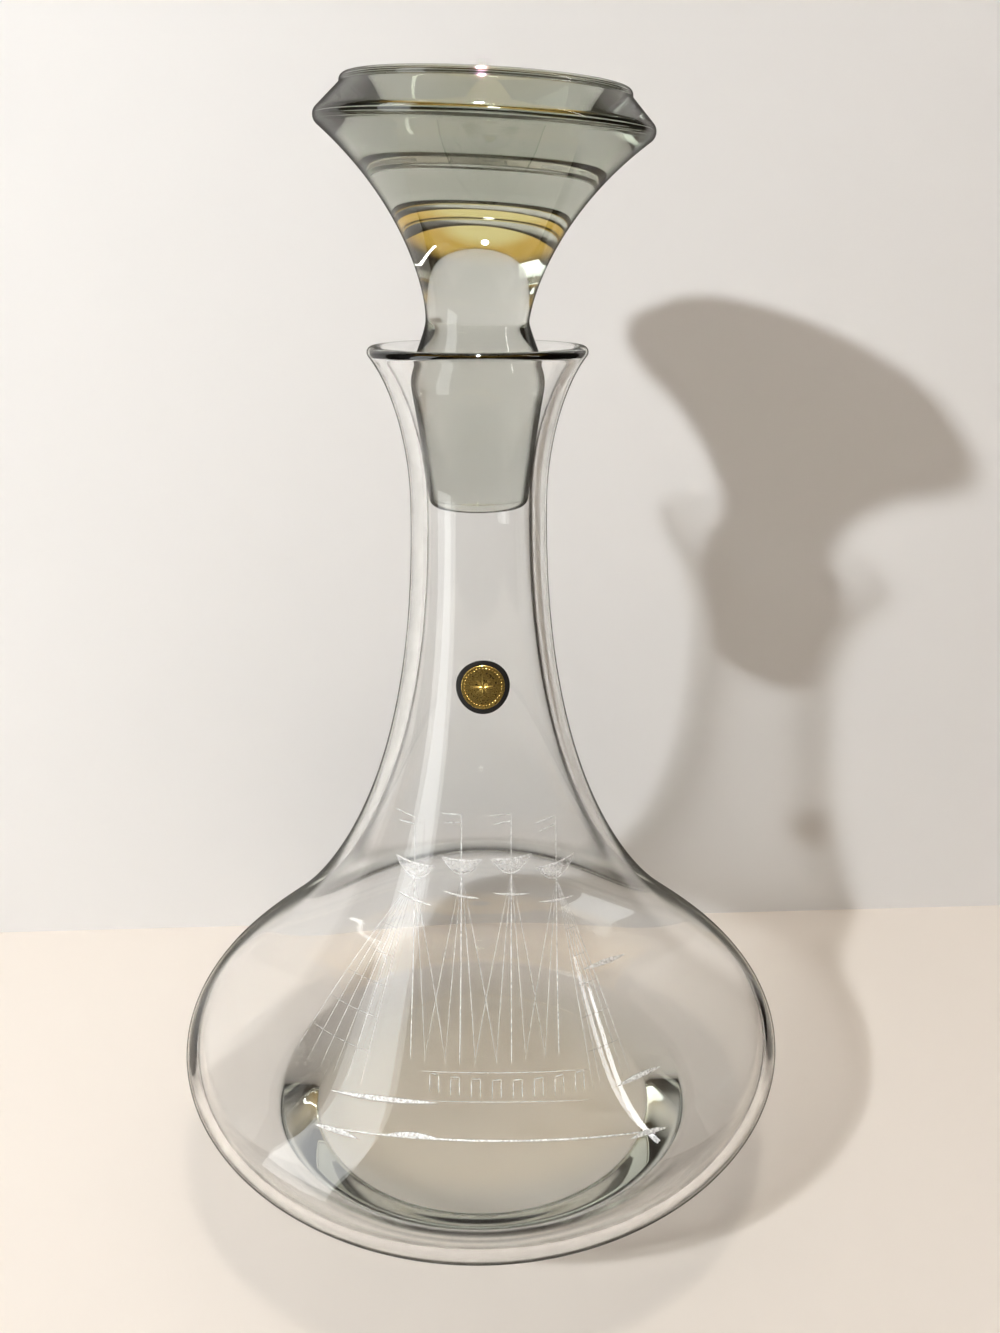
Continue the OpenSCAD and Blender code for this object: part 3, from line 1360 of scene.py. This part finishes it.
    def hull_strokes(self) -> Iterator[Stroke]:
        """Hull line, the leaf-shaped cuts at rail and bow, and the band of ports.

        Yields:
            The strokes in that order.
        """
        yield Stroke(self.hull_left, self.hull_right, self.hull_cut)
        for start, end in self.leaves:
            yield Stroke(start, end, self.leaf_cut)
        (left, low), (right, end_low) = self.band_left, self.band_right
        for rise in (0.0, self.band_h):
            yield Stroke((left, low + rise), (right, end_low + rise), self.band_cut)
        for k in range(self.ports):
            x = left + self.port_inset + k * self.port_gap
            sill = low + (end_low - low) * (x - left) / (right - left) + self.port_sill
            lintel = sill + self.port_h
            for side in (x, x + self.port_w):
                yield Stroke((side, sill), (side, lintel), self.port_cut)
            yield Stroke((x, lintel), (x + self.port_w, lintel), self.port_cut)

    def base_mesh(self) -> Mesh:
        """Polylines of the strokes, each point with its width, its frost and its way out of the glass.

        Returns:
            The mesh, which has no faces.
        """
        spots: list[Vector] = []
        edges: list[tuple[int, int]] = []
        widths: list[float] = []
        frosts: list[float] = []
        ways: list[float] = []
        for stroke in (*self.mast_strokes(), *self.rigging_strokes(), *self.hull_strokes()):
            count = max(self.least_steps, round(math.dist(stroke.start, stroke.end) / self.step))
            for i in range(count + 1):
                x, height = stroke.at(i / count)
                if i:
                    edges.append((len(spots) - 1, len(spots)))
                spots.append(self.vessel.front_point(x, height, self.lift))
                widths.append(stroke.half_width(i / count))
                frosts.append(stroke.cut.frost)
                ways.extend(self.vessel.front_normal(x, height))
        mesh = bpy.data.meshes.new("engraved_ship_base")
        mesh.from_pydata([s[:] for s in spots], edges, [])
        store(mesh, HALF_WIDTH, widths)
        store(mesh, FROST, frosts)
        mesh.attributes.new(OUT_OF_GLASS, "FLOAT_VECTOR", "POINT").data.foreach_set("vector", ways)
        return mesh

    def build(self) -> Object:
        """Cuts the drawing into the glass.

        Returns:
            The engraving.
        """
        values = {"Flatness": self.flatness, "Material": self.finish.material()}
        piece = cut_lines().grow("engraved_ship", self.base_mesh(), values)
        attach(piece, Body.DECANTER.value)
        return piece


# The studio


@dataclass(frozen=True)
class Lamp:
    """A soft lamp, out of the camera's sight, that faces a height on the decanter's axis."""

    name: str
    place: Spot
    size: Point
    power: float
    colour: Colour
    aim_h: float = 0.12
    use: LampUse = LampUse.LIGHT
    face: LampFace = LampFace.ROUND

    def build(self) -> None:
        """Hangs the lamp."""
        data = bpy.data.lights.new(self.name, "AREA")
        data.shape = self.face.value
        data.size, data.size_y = self.size
        data.energy, data.color = self.power, self.colour
        lamp = new_object(self.name, data)
        lamp.visible_camera = False
        lamp.visible_diffuse = self.use is LampUse.LIGHT
        lamp.visible_glossy = self.use is LampUse.MIRROR
        lamp.visible_transmission = self.use is LampUse.MIRROR
        lamp.location = self.place
        way = Vector((0.0, 0.0, self.aim_h)) - Vector(self.place)
        lamp.rotation_euler = way.to_track_quat("-Z", "Y").to_euler()


@dataclass(frozen=True)
class RoomSide:
    """A side of the room that is mirrored in glass: it comes in from a start to an end along an axis."""

    axis: str
    start: float
    end: float
    colour: Colour


@dataclass
class Studio:
    """Plain floor and backdrop, soft lamps and the camera at the photograph's place."""

    image_width: float = 1000.0
    image_height: float = 1333.0
    focal_px: float = 1100.0
    sensor_mm: float = 36.0
    eye: Spot = (5.58 * MM, -286.1 * MM, 256.3 * MM)
    pitch_down: float = 19.94
    nearest: float = 10 * MM
    stage_half: float = 3.0
    backdrop_y: float = 110.7 * MM
    backdrop_turn: float = 2.8
    floor_gap: float = 0.2 * MM
    floor_colour: Colour = (0.86, 0.8, 0.74)
    wall_colour: Colour = (0.86, 0.855, 0.85)
    far_colour: Colour = (0.09, 0.08, 0.07)
    floor_field: tuple[Point, Point] = ((-0.3, 0.3), (-0.2, 1.0))
    wall_field: tuple[Point, Point] = ((-0.35, 0.16), (-1.0, 1.0))
    backing: Colour = (0.86, 0.85, 0.84)
    glow: Colour = (0.14, 0.1, 0.07)
    room_left: Colour = (0.25, 0.245, 0.24)
    room_sides: tuple[RoomSide, ...] = (
        RoomSide("Y", start=-0.3, end=-0.8, colour=(0.04, 0.038, 0.035)),
        RoomSide("X", start=-0.2, end=0.5, colour=(0.05, 0.035, 0.025)),
        RoomSide("Z", start=0.55, end=0.8, colour=(1.2, 0.75, 0.17)),
        RoomSide("Z", start=0.88, end=0.98, colour=(1.5, 1.25, 0.6)),
    )
    cool: Colour = (0.96, 0.99, 1.0)
    warm: Colour = (1.0, 0.92, 0.8)
    white: Colour = (1.0, 1.0, 1.0)
    strip_aim: float = 0.42
    lamps: tuple[Lamp, ...] = (
        Lamp("key", place=(-0.72, -0.77, 0.78), size=(0.045, 0.045), power=12.0, colour=cool),
        Lamp("ceiling", place=(0.1, -0.12, 1.4), size=(0.12, 0.12), power=4.2, colour=warm),
        Lamp(
            "spark", place=(0.0, -0.36, 1.4), size=(0.1, 0.14), power=80.0, colour=white,
            use=LampUse.MIRROR,
        ),
        Lamp(
            "left_strip", place=(-0.52, -0.33, 0.42), size=(0.26, 0.8), power=2.2, colour=cool,
            aim_h=strip_aim, use=LampUse.MIRROR, face=LampFace.STRIP,
        ),
        Lamp(
            "right_strip", place=(0.62, -0.26, 0.75), size=(0.025, 0.5), power=0.6, colour=white,
            aim_h=strip_aim, use=LampUse.MIRROR, face=LampFace.STRIP,
        ),
    )

    def sheet(self, name: str, corners: Sequence[Spot], finish: StageFinish) -> None:
        """Makes a flat stage sheet.

        Args:
            name: The sheet's name.
            corners: Its corners, anticlockwise as seen from its front.
            finish: Its surface.
        """
        mesh = bpy.data.meshes.new(name)
        mesh.from_pydata(corners, [], [tuple(range(len(corners)))])
        mesh.update()
        piece = new_object(name, mesh)
        piece.data.materials.append(finish.material())
        piece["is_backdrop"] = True

    def build_stage(self) -> None:
        """Makes the floor and the one-sided backdrop."""
        half, low, tones = self.stage_half, -self.floor_gap, (self.far_colour, self.backing)
        self.sheet(
            "floor",
            [(-half, -half, low), (half, -half, low), (half, half, low), (-half, half, low)],
            StageFinish("floor_matt", self.floor_colour, *tones, self.floor_field),
        )
        slant = half * math.tan(math.radians(self.backdrop_turn))
        near, far = self.backdrop_y - slant, self.backdrop_y + slant
        self.sheet(
            "backdrop",
            [(-half, near, low), (half, far, low), (half, far, half), (-half, near, half)],
            StageFinish("backdrop_matt", self.wall_colour, *tones, self.wall_field, one_sided=True),
        )

    def build_world(self) -> None:
        """Makes the world: a glow on surfaces, a plain backing, and the room for what glass mirrors."""
        world = bpy.data.worlds.new("studio_world")
        world.use_nodes = True
        nodes = Nodes(world.node_tree)
        way = nodes.add("ShaderNodeTexCoord").outputs["Generated"]
        axes = nodes.add("ShaderNodeSeparateXYZ", {"Vector": way}).outputs
        room: Tone = self.room_left
        for side in self.room_sides:
            room = nodes.blend(nodes.ramp(axes[side.axis], side.start, side.end), room, side.colour)
        seen, mirrored = nodes.seen_in_glass()
        lit = nodes.blend(seen, self.glow, nodes.blend(mirrored, self.backing, room))
        direct = nodes.add("ShaderNodeLightPath").outputs["Is Camera Ray"]
        sky = {"Color": nodes.blend(direct, lit, self.backing), "Strength": 1.0}
        nodes.give(world.node_tree.nodes["Background"], sky)
        bpy.context.scene.world = world

    def build_camera(self) -> None:
        """Puts the camera where the photograph was taken from."""
        data = bpy.data.cameras.new("camera")
        data.sensor_width = self.sensor_mm
        data.lens = self.focal_px / max(self.image_width, self.image_height) * self.sensor_mm
        data.clip_start = self.nearest
        camera = new_object("camera", data)
        camera.location = self.eye
        camera.rotation_euler = (math.radians(90 - self.pitch_down), 0.0, 0.0)
        bpy.context.scene.camera = camera

    def build(self) -> None:
        """Builds the whole studio."""
        self.build_camera()
        self.build_stage()
        for lamp in self.lamps:
            lamp.build()
        self.build_world()
        scene = bpy.context.scene
        scene.view_settings.view_transform = "Standard"
        scene.cycles.caustics_reflective = False
        scene.cycles.caustics_refractive = False


def write_sizes() -> None:
    """Gathers the CAD box and the dressed box."""
    boxes = {"cad": CAD_BOX, "visual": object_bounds()}
    {name: [list(corner) for corner in box] for name, box in boxes.items()}


def main() -> None:
    """Builds the studio and every piece in order."""
    Studio().build()
    vessel = Vessel()
    stopper = Stopper(vessel)
    label = FoilLabel(vessel)
    ship = EngravedShip(vessel)
    for piece in (vessel.build(), stopper.build(), *label.build(), ship.build()):
        LOG.info("%s: %d faces", piece.name, len(piece.data.polygons))
    write_sizes()


if __name__ == "__main__":
    main()
